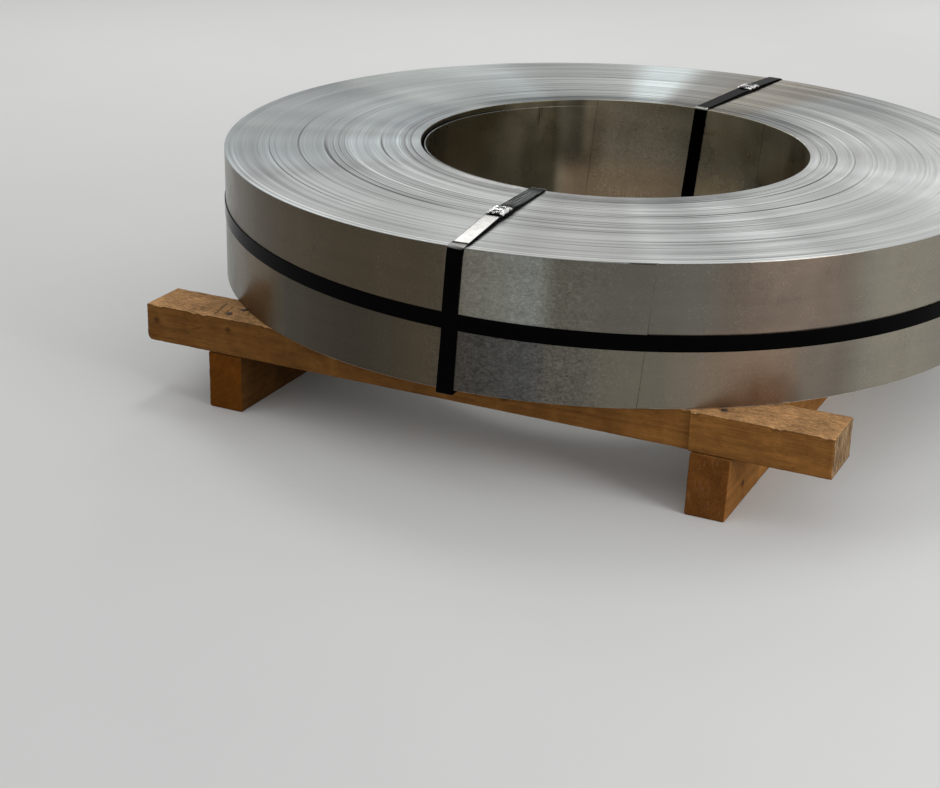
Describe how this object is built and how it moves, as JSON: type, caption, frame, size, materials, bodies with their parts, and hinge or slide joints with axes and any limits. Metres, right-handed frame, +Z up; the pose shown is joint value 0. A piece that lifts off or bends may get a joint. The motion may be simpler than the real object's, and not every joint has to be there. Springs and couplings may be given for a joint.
{
  "type": "strapped steel coil on a timber skid",
  "caption": "Wound strip steel coil lying eye up on a timber skid, with an open bore and steel straps round the wall and through the eye, each closed by a pressed seal.",
  "frame": {"origin": "on the floor straight under the coil's axis", "axes": "+Z up along the bore, +X along the skid's cross timbers, -Y to the side with the notched front timber"},
  "size_m": [1.0178, 1.0201, 0.2979],
  "materials": {
    "galvanised_strip": "satin",
    "strapping": "gloss",
    "seal": "satin",
    "timber": "rough sawn",
    "nail": "dull"
  },
  "bodies": {
    "root": {"strip_coil": "galvanised_strip", "belly_strap": "strapping", "belly_seal": "seal", "front_eye_strap": "strapping", "front_eye_seal": "seal", "rear_eye_strap": "strapping", "rear_eye_seal": "seal", "front_cross_timber": "timber", "rear_cross_timber": "timber", "left_bearer": "timber", "right_bearer": "timber", "skid_nails": "nail"}
  },
  "joints": []
}
